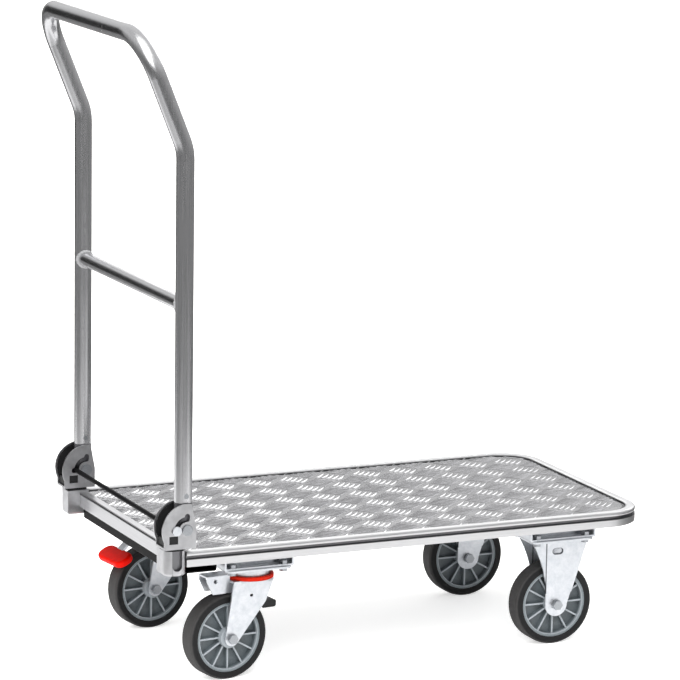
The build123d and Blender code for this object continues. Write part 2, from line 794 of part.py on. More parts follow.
with BuildPart() as brake_pedal:
    with BuildSketch(pedal_plane):
        RectangleRounded(pedal_length, pedal_width, pedal_round)
    extrude(amount=pedal_thickness / 2, both=True)
    fillet(brake_pedal.edges(), radius=pedal_thickness / 3)
    with BuildSketch(lever_plane):
        Rectangle(tongue_end + plug_gap, lever_width + 2 * plug_gap, align=(Align.MIN, Align.CENTER))
    extrude(amount=lever_thickness / 2 + plug_gap, both=True, mode=Mode.SUBTRACT)
with BuildPart() as brake_pin:
    with BuildSketch(side_plane(housing_width / 2 + 1)):
        with Locations((-brake_pivot_back, brake_pivot_height)):
            Circle(brake_pin_d / 2)
    extrude(amount=housing_width + 2)

# Fixed fork: top plate with two tapering legs, the rear flange of each set back a step
with BuildPart() as fixed_fork:
    with BuildSketch(Plane.XY.offset(plate_bottom)):
        RectangleRounded(plate_length, plate_width, 10)
        with GridLocations(bolt_pitch_x, bolt_pitch_y, 2, 2):
            Circle(bolt_d / 2 + hole_gap, mode=Mode.SUBTRACT)
    extrude(amount=plate_thickness)
    for end in (1, -1):
        with BuildSketch(side_plane(end * (fork_inner + fork_sheet) / 2)):
            with Locations((0, axle_z)):
                Circle(fixed_lobe)
            with BuildLine():
                ThreePointArc(
                    (-fixed_shoulder_back, plate_bottom),
                    (-fixed_waist, fixed_waist_height),
                    (-fixed_lobe, axle_z),
                )
                Polyline(
                    (-fixed_lobe, axle_z),
                    (fixed_lobe, axle_z),
                    (fixed_shoulder, plate_bottom),
                    (-fixed_shoulder_back, plate_bottom),
                )
            make_face()
        extrude(amount=fork_sheet / 2, both=True)
        with BuildSketch(Plane(origin=(-fixed_lobe, end * fork_outer / 2, axle_z + fixed_lobe), z_dir=(0, -end, 0))):
            Rectangle(2 * fixed_shoulder, 4 * fixed_shoulder, align=(Align.MAX if end < 0 else Align.MIN, Align.CENTER))
        extrude(amount=flange_step, mode=Mode.SUBTRACT)
    with BuildSketch(side_plane(fork_outer)):
        with Locations((0, axle_z)):
            Circle(axle_d / 2 + hole_gap)
        with Locations((0, plate_bottom - fixed_hole_drop)):
            SlotOverall(fixed_hole_length, fixed_hole_width)
    extrude(amount=2 * fork_outer, mode=Mode.SUBTRACT)

# Axle bolt with its bearing sleeve, and its nut
with BuildPart() as axle_bolt:
    with BuildSketch(Plane.XZ.offset(fork_outer / 2)):
        RegularPolygon(axle_head_af / 2, 6, major_radius=False)
    extrude(amount=axle_head_height)
    with BuildSketch(Plane.XZ.offset(fork_outer / 2)):
        Circle(axle_d / 2)
    extrude(amount=-(fork_outer + axle_head_height))
    with BuildSketch(Plane.XZ):
        Circle(sleeve_d / 2)
    extrude(amount=fork_inner / 2, both=True)
with BuildPart() as axle_nut:
    with BuildSketch(Plane.XZ.offset(-fork_outer / 2)):
        RegularPolygon(axle_head_af / 2, 6, major_radius=False)
        Circle(axle_d / 2, mode=Mode.SUBTRACT)
    extrude(amount=-axle_head_height)

# Wheel: rubber tread, ribbed plastic hub and bearing bush, on the Y axis
rim_r = wheel_d / 2 - tread_thickness
with BuildPart() as tyre:
    with BuildSketch(Plane.XY) as tread:
        with Locations((rim_r, 0)):
            Rectangle(tread_thickness, wheel_width, align=(Align.MIN, Align.CENTER))
        fillet(tread.vertices().group_by(Axis.X)[-1], radius=0.42 * tread_thickness)
    revolve(axis=Axis.Y)
with BuildPart() as hub:
    with BuildSketch(Plane.XZ):
        Circle(rim_r)
        Circle(rim_r - rim_thickness, mode=Mode.SUBTRACT)
    extrude(amount=rim_width / 2, both=True)
    with BuildSketch(Plane.XZ):
        Circle(rim_r - rim_thickness / 2)
    extrude(amount=web_thickness / 2, both=True)
    rib_length = rim_r - rim_thickness / 2 - boss_d / 2 + 2
    with BuildSketch(Plane.XZ):
        with PolarLocations(boss_d / 2 - 2 + rib_length / 2, rib_count):
            Rectangle(rib_length, rib_thickness)
    extrude(amount=rib_width / 2, both=True)
    with BuildSketch(Plane.XZ):
        Circle(boss_d / 2)
    extrude(amount=boss_length / 2, both=True)
    with BuildSketch(Plane.XZ):
        Circle(bush_od / 2)
    extrude(amount=boss_length, both=True, mode=Mode.SUBTRACT)
with BuildPart() as bush:
    with BuildSketch(Plane.XZ):
        Circle(bush_od / 2)
        Circle(sleeve_d / 2 + running_gap, mode=Mode.SUBTRACT)
    extrude(amount=boss_length / 2, both=True)

# Each caster in its place
for side, y in (("left", track_y), ("right", -track_y)):
    swivel = Location((swivel_x, y, 0), (0, 0, rest_yaw))
    write(swivel_plate.part, "swivel_plate_" + side, Location((swivel_x, y, 0)))
    write(king_pin.part, "king_pin_" + side, Location((swivel_x, y, 0)))
    write(swivel_fork.part, "swivel_fork_" + side, swivel)
    write(dust_ring.part, "dust_ring_" + side, swivel)
    write(fork_buffer.part, "fork_buffer_" + side, swivel)
    write(fixed_fork.part, "fixed_fork_" + side, Location((fixed_x, y, 0)))
    rear_axle = swivel * Location((-trail, 0, axle_z))
    front_axle = Location((fixed_x, y, axle_z))
    for end, place in (("rear", rear_axle), ("front", front_axle)):
        write(tyre.part, f"tyre_{end}_{side}", place)
        write(hub.part, f"hub_{end}_{side}", place)
        write(bush.part, f"bush_{end}_{side}", place)
        write_group([axle_bolt.part.moved(place), axle_nut.part.moved(place)], f"axle_{end}_{side}")
    if side == "left":
        write(brake_lever.part, "brake_lever", swivel)
        write(brake_pedal.part, "brake_pedal", swivel)
        write(brake_pin.part, "brake_pin", swivel)
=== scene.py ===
# %% [markdown]
# # Folding platform trolley
# The trolley is already modelled as solid parts in CAD. This lesson loads those parts as a fixed
# frame, gives each one its real finish, adds the fine shapes that CAD leaves out, and sets up a
# small photo studio round it. Everything is in metres: X points to the trolley's front, Y to its
# left and Z up.

# %% Load the parts
import bpy
import json
import math
from mathutils import Matrix, Vector

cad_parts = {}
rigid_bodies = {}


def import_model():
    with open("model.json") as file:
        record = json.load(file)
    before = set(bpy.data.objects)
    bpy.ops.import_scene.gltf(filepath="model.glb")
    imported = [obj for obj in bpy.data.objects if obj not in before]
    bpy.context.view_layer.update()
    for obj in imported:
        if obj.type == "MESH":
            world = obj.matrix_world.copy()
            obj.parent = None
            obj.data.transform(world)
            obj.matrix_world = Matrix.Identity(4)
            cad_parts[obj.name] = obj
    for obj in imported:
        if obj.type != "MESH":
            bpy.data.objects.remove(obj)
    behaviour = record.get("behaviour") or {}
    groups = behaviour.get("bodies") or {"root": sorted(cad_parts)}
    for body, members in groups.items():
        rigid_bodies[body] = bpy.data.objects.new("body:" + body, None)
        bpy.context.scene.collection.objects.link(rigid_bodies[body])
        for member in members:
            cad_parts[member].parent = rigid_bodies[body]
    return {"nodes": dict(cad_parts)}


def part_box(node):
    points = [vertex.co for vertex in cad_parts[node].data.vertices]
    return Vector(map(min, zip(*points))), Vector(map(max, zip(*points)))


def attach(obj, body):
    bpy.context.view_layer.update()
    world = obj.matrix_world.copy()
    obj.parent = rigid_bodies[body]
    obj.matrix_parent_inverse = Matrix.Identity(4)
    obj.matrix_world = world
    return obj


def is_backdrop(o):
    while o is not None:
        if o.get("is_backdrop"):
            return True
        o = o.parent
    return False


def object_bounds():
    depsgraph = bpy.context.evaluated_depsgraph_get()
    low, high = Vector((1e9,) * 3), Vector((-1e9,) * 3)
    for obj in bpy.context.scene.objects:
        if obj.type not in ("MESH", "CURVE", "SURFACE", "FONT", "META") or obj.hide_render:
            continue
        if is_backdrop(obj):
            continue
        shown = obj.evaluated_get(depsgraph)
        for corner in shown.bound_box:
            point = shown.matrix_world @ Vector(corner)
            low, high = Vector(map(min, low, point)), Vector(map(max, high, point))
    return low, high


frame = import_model()
nodes = frame["nodes"]
cad_low, cad_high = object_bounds()
print("parts loaded:", len(nodes), "box:", [round(v, 4) for v in cad_high - cad_low])

# %% [markdown]
# ## Camera
# The photograph was taken from behind the right rear corner with a long lens, so the edges of the
# deck hardly converge. A camera needs a place, a lens and a direction. The direction is built from
# a turn about the vertical (yaw), a tilt (pitch) and a slight roll, because those are the three
# numbers a photographer changes on a tripod head.

# %% Camera
yaw, pitch, roll = math.radians(24.1027), math.radians(-11.0899), math.radians(0.845)
camera_place = (-2.38625, -5.32717, 1.59495)
photo_pixels, focal_pixels, sensor_mm = 680, 4007.9, 36
forward = Vector((math.sin(yaw) * math.cos(pitch), math.cos(yaw) * math.cos(pitch), math.sin(pitch)))
level_right = Vector((math.cos(yaw), -math.sin(yaw), 0))
level_up = level_right.cross(forward)
right = math.cos(roll) * level_right + math.sin(roll) * level_up
up = right.cross(forward)
camera_data = bpy.data.cameras.new("studio_camera")
camera_data.sensor_width = sensor_mm
camera_data.lens = sensor_mm * focal_pixels / photo_pixels
camera_data.clip_end = 500
camera = bpy.data.objects.new("studio_camera", camera_data)
turn = Matrix((right, up, -forward)).transposed().to_4x4()
camera.matrix_world = Matrix.Translation(camera_place) @ turn
bpy.context.collection.objects.link(camera)
bpy.context.scene.camera = camera
print("lens", round(camera_data.lens, 1), "mm")

# %% [markdown]
# ## Node helpers
# Every material and the sky are small node networks. Nodes could be added one line at a time, but
# the same few lines would repeat hundreds of times, so one function adds a node together with its
# settings and links, and another fills the inputs of a node that is already there.

# %% Node helpers
def fill(tree, node, inputs):
    """Sets inputs to numbers or colours, or links them to a socket or to a node's first output."""
    for name, value in inputs.items():
        if isinstance(value, bpy.types.Node):
            value = value.outputs[0]
        if isinstance(value, bpy.types.NodeSocket):
            tree.links.new(value, node.inputs[name])
        else:
            node.inputs[name].default_value = value


def add(tree, kind, inputs=None, stops=(), **settings):
    """One new node: its inputs, the colour stops of a ramp, and its own settings."""
    node = tree.nodes.new("ShaderNode" + kind)
    for name, value in settings.items():
        setattr(node, name, value)
    fill(tree, node, inputs or {})
    if stops:
        bar = node.color_ramp.elements
        while len(bar) < len(stops):
            bar.new(0.5)
        for stop, (position, colour) in zip(bar, stops):
            stop.position = position
            stop.color = colour
    return node


# %% [markdown]
# ## Studio
# The trolley stood on a pale sweep in soft light. What bare metal shows is mostly the room that it
# mirrors, so the room matters as much as the light: a dim hall, a pale backdrop low behind the
# trolley, one wide softbox above that backdrop, a weaker one overhead that picks out the tread bars
# from the far side, and a sheet of white paper of a few metres round the wheels. Low parts mirror
# the paper and look white, tall ones mirror the dim hall and look grey. The paper is shaded at its
# near left, which keeps the slanted tubes grey, and dark at its right end, which rounds the front
# corner of the deck. The white streak on the bend of the grip comes from a softbox that is linked
# to the tube alone, because on the flat deck it would be a glare. A black flag to the left draws
# the dark underside of the grip and the brace. The floor that the camera sees catches the shadow;
# paper and flag are only seen in reflections.

# %% Sky
# Greys of the hall by height: 0 is straight down, 0.5 the horizon and 1 straight up
hall_greys = (
    (0.0, 0.1), (0.35, 0.25), (0.46, 0.3), (0.53, 0.44), (0.6, 0.5),
    (0.66, 0.72), (0.74, 0.8), (0.85, 0.78), (1.0, 0.75))
world = bpy.data.worlds.new("studio_sky")
bpy.context.scene.world = world
world.use_nodes = True
sky = world.node_tree
look = add(sky, "SeparateXYZ", {"Vector": add(sky, "TexCoord").outputs["Generated"]})
height = add(sky, "MapRange", {"Value": look.outputs["Z"], "From Min": -1, "From Max": 1})
by_height = add(sky, "ValToRGB", {"Fac": height}, [(at, (grey, grey, grey, 1)) for at, grey in hall_greys])
by_side = add(sky, "MapRange", {
    "Value": look.outputs["Y"], "From Min": -1, "From Max": 1, "To Min": 0.8, "To Max": 1.1})
by_left = add(sky, "MapRange", {
    "Value": look.outputs["X"], "From Min": -0.3, "From Max": 0.05, "To Min": 0.85, "To Max": 1.0})
level = add(sky, "Math", {0: by_side, 1: by_left}, operation="MULTIPLY")
fill(sky, sky.nodes["Background"], {"Color": by_height, "Strength": level})
print("sky of", len(hall_greys), "greys")

# %% Lamps
# The sun stands for one huge soft light overhead and shows in no reflection
sun_data = bpy.data.lights.new("overhead_softbox", "SUN")
sun_data.energy = 4.2
sun_data.angle = math.radians(70)
sun = bpy.data.objects.new("overhead_softbox", sun_data)
sun.rotation_euler = (math.radians(18), math.radians(-16), 0)
sun.visible_glossy = False
bpy.context.collection.objects.link(sun)
# Name, place, width and height, watts, whether metal mirrors it, whether it lights matt surfaces
lamps = (
    ("rear_softbox", (2.0, 2.65, 1.82), (3.2, 0.78), 17, True, True),
    ("top_softbox", (-0.18, -1.12, 2.9), (1.8, 2.3), 11, True, False),
    ("grip_softbox", (-1.3, -1.8, 2.4), (2.4, 3.4), 49, True, False),
    ("front_fill", (-2.0, -3.0, 2.2), (3.0, 2.0), 60, False, True))
aim = Vector((0, 0, 0.3))
for name, at, size, watts, mirrored, lit in lamps:
    lamp_data = bpy.data.lights.new(name, "AREA")
    lamp_data.shape = "RECTANGLE"
    lamp_data.size, lamp_data.size_y = size
    lamp_data.energy = watts
    lamp = bpy.data.objects.new(name, lamp_data)
    lamp.location = at
    lamp.rotation_euler = (aim - lamp.location).to_track_quat("-Z", "Y").to_euler()
    lamp.visible_camera = False
    lamp.visible_glossy = mirrored
    lamp.visible_diffuse = lit
    bpy.context.collection.objects.link(lamp)
tube_only = bpy.data.collections.new("push_tube_only")
tube_only.objects.link(nodes["push_tube"])
bpy.data.objects["grip_softbox"].light_linking.receiver_collection = tube_only
print("lamps:", len(lamps) + 1)

# %% [markdown]
# ### Colours and the start of a finish
# A colour is usually written as six hex digits in sRGB, the way a screen shows it, but Blender's
# sockets take linear light. The colour picker converts by itself. In a script one function does
# it for every colour, and another starts a material with the nodes that each of them needs.

# %% Colours and the start of a finish
def linear(hex_code):
    """sRGB hex digits as a linear colour with alpha."""
    shares = [int(hex_code[i:i + 2], 16) / 255 for i in (0, 2, 4)]
    return [s / 12.92 if s <= 0.04045 else ((s + 0.055) / 1.055) ** 2.4 for s in shares] + [1.0]


def two_tones(dark, light):
    """Colour stops that spread two colours over the usual range of a noise."""
    return [(0.3, linear(dark)), (0.7, linear(light))]


def new_finish(name):
    """A material, its node tree, its shader and the object coordinates that its patterns read."""
    material = bpy.data.materials.new(name)
    material.use_nodes = True
    tree = material.node_tree
    return material, tree, tree.nodes["Principled BSDF"], add(tree, "TexCoord").outputs["Object"]


print("white in linear light:", linear("ffffff"))

# %% [markdown]
# ### Sweep, paper and flag
# The set has three flat sheets: the sweep that the trolley stands on, the paper that it mirrors and
# the black flag. One curved backdrop could take the place of all three, but a sheet of its own can
# be hidden from the camera or from reflections by itself.

# %% Floor
def studio_sheet(name, at, size, tilt=0):
    """A flat sheet of the studio, centred on a place."""
    bpy.ops.object.select_all(action="DESELECT")
    bpy.ops.mesh.primitive_plane_add(size=1, location=at, rotation=(math.radians(tilt), 0, 0))
    sheet = bpy.context.active_object
    sheet.name = name
    sheet.scale = (*size, 1)
    return sheet


# Matt paper, lit a little from within so that it stays as white as an overexposed backdrop
floor = studio_sheet("floor", (0, 0, cad_low.z), (300, 300))
floor.visible_glossy = False
floor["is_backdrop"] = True
sweep, tree, shader, _ = new_finish("matt_white_paper_sweep")
clouds = add(tree, "TexNoise", {"Scale": 3.0, "Detail": 2.0})
tone = add(tree, "ValToRGB", {"Fac": clouds}, two_tones("f0f0ee", "f4f4f3"))
fill(tree, shader, {
    "Base Color": tone, "Roughness": 0.9, "Specular IOR Level": 0.0,
    "Emission Color": linear("ffffff"), "Emission Strength": 0.55})
floor.data.materials.append(sweep)
print("floor at", round(cad_low.z, 4))

# %% Paper and flag
# Both show only in reflections; object coordinates run from -0.5 to 0.5 over the sheet of paper
paper_lift = 0.0005
paper = studio_sheet("white_paper", (0.1, -0.1, cad_low.z + paper_lift), (3.4, 2.6))
paper_finish, tree, shader, place = new_finish("grey_white_paper")
parts = add(tree, "SeparateXYZ", {"Vector": place})
at_left = add(tree, "MapRange", {"Value": parts.outputs["X"], "From Min": -0.2, "From Max": -0.28})
at_near = add(tree, "MapRange", {"Value": parts.outputs["Y"], "From Min": 0.25, "From Max": 0.1})
shade = add(tree, "Math", {0: at_left, 1: at_near}, operation="MULTIPLY")
tone = add(tree, "MixRGB", {"Fac": shade, "Color1": linear("d6d6d6"), "Color2": linear("a4a4a4")})
at_right = add(tree, "MapRange", {"Value": parts.outputs["X"], "From Min": 0.205, "From Max": 0.27})
tone = add(tree, "MixRGB", {"Fac": at_right, "Color1": tone, "Color2": linear("2c2c2c")})
fill(tree, shader, {"Base Color": tone, "Roughness": 0.9})
paper.data.materials.append(paper_finish)
paper.visible_camera = paper.visible_diffuse = paper.visible_shadow = False
paper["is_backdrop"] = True
flag = studio_sheet("black_flag", (-1.75, 3.0, 0.85), (1.9, 1.5), 90)
flag_finish, tree, shader, _ = new_finish("black_velvet_cloth")
fill(tree, shader, {"Base Color": linear("060606"), "Roughness": 1.0})
flag.data.materials.append(flag_finish)
flag.visible_camera = flag.visible_diffuse = flag.visible_shadow = False
flag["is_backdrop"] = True
bpy.context.scene.view_settings.view_transform = "Standard"
print("sheets:", floor.name, paper.name, flag.name)

# %% [markdown]
# ## Finishes
# Every finish starts from what the real surface is and how it was made. Patterns read the piece's
# own object coordinates, in metres, so the scale of a pattern is worked out from the size of its
# spots in millimetres. Tool marks, frost and moulded textures are finer than a pixel of the
# picture; they are drawn about a millimetre coarse, because otherwise they would not show.

# %% Size of a pattern
def spot_scale(x_mm, y_mm, z_mm):
    """Scale along x, y and z that draws spots of this size."""
    return 1000 / x_mm, 1000 / y_mm, 1000 / z_mm


print("spots of 1.5 mm need a scale of", round(spot_scale(1.5, 1.5, 1.5)[0], 1))

# %% [markdown]
# ### Drawn aluminium tube
# Handle and brace are drawn tube. The die leaves fine lines along it. They could be a picture of
# brushed metal, but a noise that is stretched along the tube needs no picture and has no seam.

# %% Drawn aluminium tube
# Fine lines along the tube, drawn coarser than real to show, and a satin surface that spreads light
drawn_tube, tree, shader, place = new_finish("drawn_aluminium_tube")
scaled = add(tree, "Mapping", {"Vector": place, "Scale": spot_scale(1.6, 1.6, 90)})
lines = add(tree, "TexNoise", {"Vector": scaled, "Scale": 1.0, "Detail": 3.0})
tone = add(tree, "ValToRGB", {"Fac": lines}, two_tones("cdcdcf", "d9d9db"))
rough = add(tree, "MapRange", {"Value": lines, "To Min": 0.2, "To Max": 0.3})
lift = add(tree, "Bump", {"Height": lines, "Strength": 0.05, "Distance": 0.0004})
fill(tree, shader, {"Base Color": tone, "Metallic": 1.0, "Roughness": rough, "Normal": lift})
print("finish:", drawn_tube.name)

# %% [markdown]
# ### Extruded aluminium profile
# The edge of the deck is an extruded profile with a side groove and a raised rim. The die leaves
# straight bright lines along it. The groove and the foot of the rim are darkened with painted shade.
# Grooves could be left to shadow alone, but a thin groove looks clean then, so the painted shade is
# drawn by height, and along the rim by the distance from the centre of the bend.

# %% Extruded aluminium profile
# Bright, with die lines drawn coarser than real to show, and painted shade in the groove and at the foot
# of the rim.
# Outer radius of the bend, reach of the rim's inner wall from the bend's centre, width of a soft edge
frame_bend, wall_reach, edge_fade = 0.065, 0.0512, 0.0006
# Heights between which painted shade lies at the foot of the rim, and how softly it ends
foot_low, foot_top, shade_fade = 0.2028, 0.2054, 0.0005
frame_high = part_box("edge_frame")[1]
bend_centre = Vector((frame_high.x - frame_bend, frame_high.y - frame_bend, 0))


def extruded_profile(name, dark, light, groove):
    """Bright extruded aluminium, with painted shade in a groove between two heights and at the foot of its
    rim.
    """
    profile, tree, shader, place = new_finish(name)
    low, high = groove
    scaled = add(tree, "Mapping", {"Vector": place, "Scale": spot_scale(120, 120, 0.9)})
    lines = add(tree, "TexNoise", {"Vector": scaled, "Scale": 1.0, "Detail": 2.0})
    tone = add(tree, "ValToRGB", {"Fac": lines}, two_tones(dark, light))
    rise = add(tree, "SeparateXYZ", {"Vector": place}).outputs["Z"]
    above = add(tree, "MapRange", {"Value": rise, "From Min": low, "From Max": low + edge_fade})
    below = add(tree, "MapRange", {"Value": rise, "From Min": high, "From Max": high - edge_fade})
    dust_and_shade = add(tree, "Math", {0: above, 1: below}, operation="MULTIPLY")
    sides = add(tree, "VectorMath", {0: place}, operation="ABSOLUTE")
    over = add(tree, "VectorMath", {0: sides, 1: bend_centre}, operation="SUBTRACT")
    over = add(tree, "VectorMath", {0: over, 1: (0, 0, 0)}, operation="MAXIMUM")
    flat = add(tree, "VectorMath", {0: over, 1: (1, 1, 0)}, operation="MULTIPLY")
    reach = add(tree, "VectorMath", {0: flat}, operation="LENGTH").outputs["Value"]
    inner = add(tree, "MapRange", {
        "Value": reach, "From Min": wall_reach, "From Max": wall_reach - edge_fade})
    foot = add(tree, "MapRange", {"Value": rise, "From Min": foot_top, "From Max": foot_top - shade_fade})
    sill = add(tree, "MapRange", {"Value": rise, "From Min": foot_low, "From Max": foot_low + shade_fade})
    line = add(tree, "Math", {0: inner, 1: foot}, operation="MULTIPLY")
    line = add(tree, "Math", {0: line, 1: sill}, operation="MULTIPLY")
    dust_and_shade = add(tree, "Math", {0: dust_and_shade, 1: line}, operation="MAXIMUM")
    # Painted shade: the groove and the foot of the rim are mixed towards this grey
    shaded_tone = add(tree, "MixRGB", {"Fac": dust_and_shade, "Color1": tone, "Color2": linear("6e6e70")})
    rough = add(tree, "MapRange", {"Value": lines, "To Min": 0.26, "To Max": 0.34})
    lift = add(tree, "Bump", {"Height": lines, "Strength": 0.03, "Distance": 0.0003})
    fill(tree, shader, {"Base Color": shaded_tone, "Metallic": 1.0, "Roughness": rough, "Normal": lift})
    return profile


# The rear rail is plain, so its groove has no height and lies below it
side_groove, no_groove = (0.1946, 0.2003), (0.1, 0.1)
side_profile = extruded_profile("extruded_aluminium_side_profile", "d2d2d3", "e0e0e1", side_groove)
# The rear rail gets a darker copy of the same extruded finish: painted shade for its rear face
shaded_rear_profile = extruded_profile("extruded_aluminium_rear_profile", "c2c2c4", "d0d0d2", no_groove)
print("finish:", side_profile.name, "and", shaded_rear_profile.name)

# %% [markdown]
# ### Rolled tread plate
# The deck is rolled sheet: bright, with soft clouds and faint rolling marks. Painted shade along the
# rim that holds it draws a dark line round the deck. The line could be a thin extra piece, but it is
# drawn in the material, by the distance from the sheet's edge.

# %% Rolled tread plate
# A bright mirror broken by clouds and by rolling marks, which are drawn coarser than real to show
deck_low, deck_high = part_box("deck_plate")
# Radius of the sheet's front corners and width of its border of painted shade
deck_round, shade_band = 0.0497, 0.0045
shade_from = deck_round - shade_band
round_centre = (deck_high.x - deck_round, deck_high.y - deck_round, 0)
tread_plate, tree, shader, place = new_finish("rolled_tread_plate")
scaled = add(tree, "Mapping", {"Vector": place, "Scale": spot_scale(35, 18, 20)})
clouds = add(tree, "TexNoise", {"Vector": scaled, "Scale": 1.0, "Detail": 4.0})
tone = add(tree, "ValToRGB", {"Fac": clouds}, two_tones("b2b2b4", "c8c8ca"))
parts = add(tree, "SeparateXYZ", {"Vector": place})
aside = add(tree, "Math", {0: parts.outputs["Y"]}, operation="ABSOLUTE")
spot = add(tree, "CombineXYZ", {"X": parts.outputs["X"], "Y": aside})
over = add(tree, "VectorMath", {0: spot, 1: round_centre}, operation="SUBTRACT")
over = add(tree, "VectorMath", {0: over, 1: (0, 0, 0)}, operation="MAXIMUM")
reach = add(tree, "VectorMath", {0: over}, operation="LENGTH").outputs["Value"]
dust_and_shade = add(tree, "MapRange", {"Value": reach, "From Min": shade_from, "From Max": shade_from + shade_fade})
# Painted shade: a dark line along the rim that holds the sheet
shaded_tone = add(tree, "MixRGB", {"Fac": dust_and_shade, "Color1": tone, "Color2": linear("58585a")})
rough = add(tree, "MapRange", {"Value": clouds, "To Min": 0.12, "To Max": 0.19})
scaled = add(tree, "Mapping", {"Vector": place, "Scale": spot_scale(14, 0.8, 5)})
marks = add(tree, "TexNoise", {"Vector": scaled, "Scale": 1.0, "Detail": 2.0})
lift = add(tree, "Bump", {"Height": marks, "Strength": 0.06, "Distance": 0.0004})
fill(tree, shader, {"Base Color": shaded_tone, "Metallic": 1.0, "Roughness": rough, "Normal": lift})
print("finish:", tread_plate.name)

# %% [markdown]
# ### Cast aluminium
# Hinges and corner posts are castings that were tumbled with stones. The recess of a corner post
# gets painted shade, and the feet inside the hinges get a darker copy of the cast finish, painted
# shade that makes the slots look dark. One function makes all of them, because only the two tones
# and the box of the recess differ.

# %% Cast aluminium
# A pebbled skin, drawn coarser than real to show, with a greyer, softer shine than rolled metal
recess_shade_fade = 0.0003


def cast_aluminium(name, dark, light, recess=None):
    """Cast aluminium, with painted shade inside a box."""
    casting, tree, shader, place = new_finish(name)
    scaled = add(tree, "Mapping", {"Vector": place, "Scale": spot_scale(1.4, 1.4, 1.4)})
    pebbles = add(tree, "TexNoise", {"Vector": scaled, "Scale": 1.0, "Detail": 3.0})
    scaled = add(tree, "Mapping", {"Vector": place, "Scale": spot_scale(14, 14, 14)})
    clouds = add(tree, "TexNoise", {"Vector": scaled, "Scale": 1.0, "Detail": 2.0})
    tone = add(tree, "ValToRGB", {"Fac": clouds}, two_tones(dark, light))
    if recess:
        low, high = recess
        moved = add(tree, "VectorMath", {0: place, 1: (low + high) / 2}, operation="SUBTRACT")
        size = add(tree, "VectorMath", {0: moved}, operation="ABSOLUTE")
        over = add(tree, "VectorMath", {0: size, 1: (high - low) / 2}, operation="SUBTRACT")
        parts = add(tree, "SeparateXYZ", {"Vector": over})
        most = add(tree, "Math", {0: parts.outputs["X"], 1: parts.outputs["Y"]}, operation="MAXIMUM")
        most = add(tree, "Math", {0: most, 1: parts.outputs["Z"]}, operation="MAXIMUM")
        inside = add(tree, "MapRange", {"Value": most, "From Min": recess_shade_fade, "From Max": -recess_shade_fade})
        # Painted shade: the recess is mixed towards this grey
        tone = add(tree, "MixRGB", {"Fac": inside, "Color1": tone, "Color2": linear("828285")})
    rough = add(tree, "MapRange", {"Value": pebbles, "To Min": 0.3, "To Max": 0.46})
    lift = add(tree, "Bump", {"Height": pebbles, "Strength": 0.12, "Distance": 0.0005})
    fill(tree, shader, {"Base Color": tone, "Metallic": 1.0, "Roughness": rough, "Normal": lift})
    return casting


cast = cast_aluminium("tumbled_cast_aluminium", "b8b8ba", "cbcbcd")
# The feet inside the hinges get a darker copy of the cast finish: painted shade in the hinge slots
shaded_cast = cast_aluminium("shaded_cast_aluminium", "5c5c5f", "707073")
print("finish:", cast.name, "and", shaded_cast.name)

# %% Recess of the corner posts
# Middle of a post along X, half the width of its recess, and its depth inside the outer face
recess_x, recess_half, recess_start, recess_end = -0.348, 0.0076, 0.0012, 0.0065
bracket_finish = {}
for side, out in (("left", 1), ("right", -1)):
    low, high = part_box("corner_bracket_" + side)
    outer = high.y if out > 0 else low.y
    inward = sorted((outer - out * recess_end, outer - out * recess_start))
    recess_low = Vector((recess_x - recess_half, inward[0], low.z))
    recess_high = Vector((recess_x + recess_half, inward[1], high.z))
    bracket_finish["corner_bracket_" + side] = cast_aluminium(
        "tumbled_cast_aluminium_recessed_" + side, "c2c2c4", "d4d4d6", (recess_low, recess_high))
print("posts with a recess:", len(bracket_finish))

# %% [markdown]
# ### Zinc-plated pressed steel
# Forks and plates are pressed steel with bright zinc on it. The pressed step of a fixed fork and the
# rim round its slot are darkened with painted shade. A plain metal with one colour would look like
# paper here, so a cloudy noise stands for the spangle of the zinc.

# %% Zinc-plated pressed steel
# Almost white with a cool tint and a faint cloudy spangle
# Rear edge, front edge and top of the step, from the middle of the slot, and how softly each ends
step_rear, step_front, step_top = -0.0201, -0.018, 0.0165
rear_fade, front_fade, top_fade = 0.00084, 0.0003, 0.001
# Depth of the slot below the plate, half its straight length, and the outside of its rim of painted shade
slot_drop, slot_half, rim_outer, rim_fade = 0.0215, 0.004, 0.0054, 0.0006


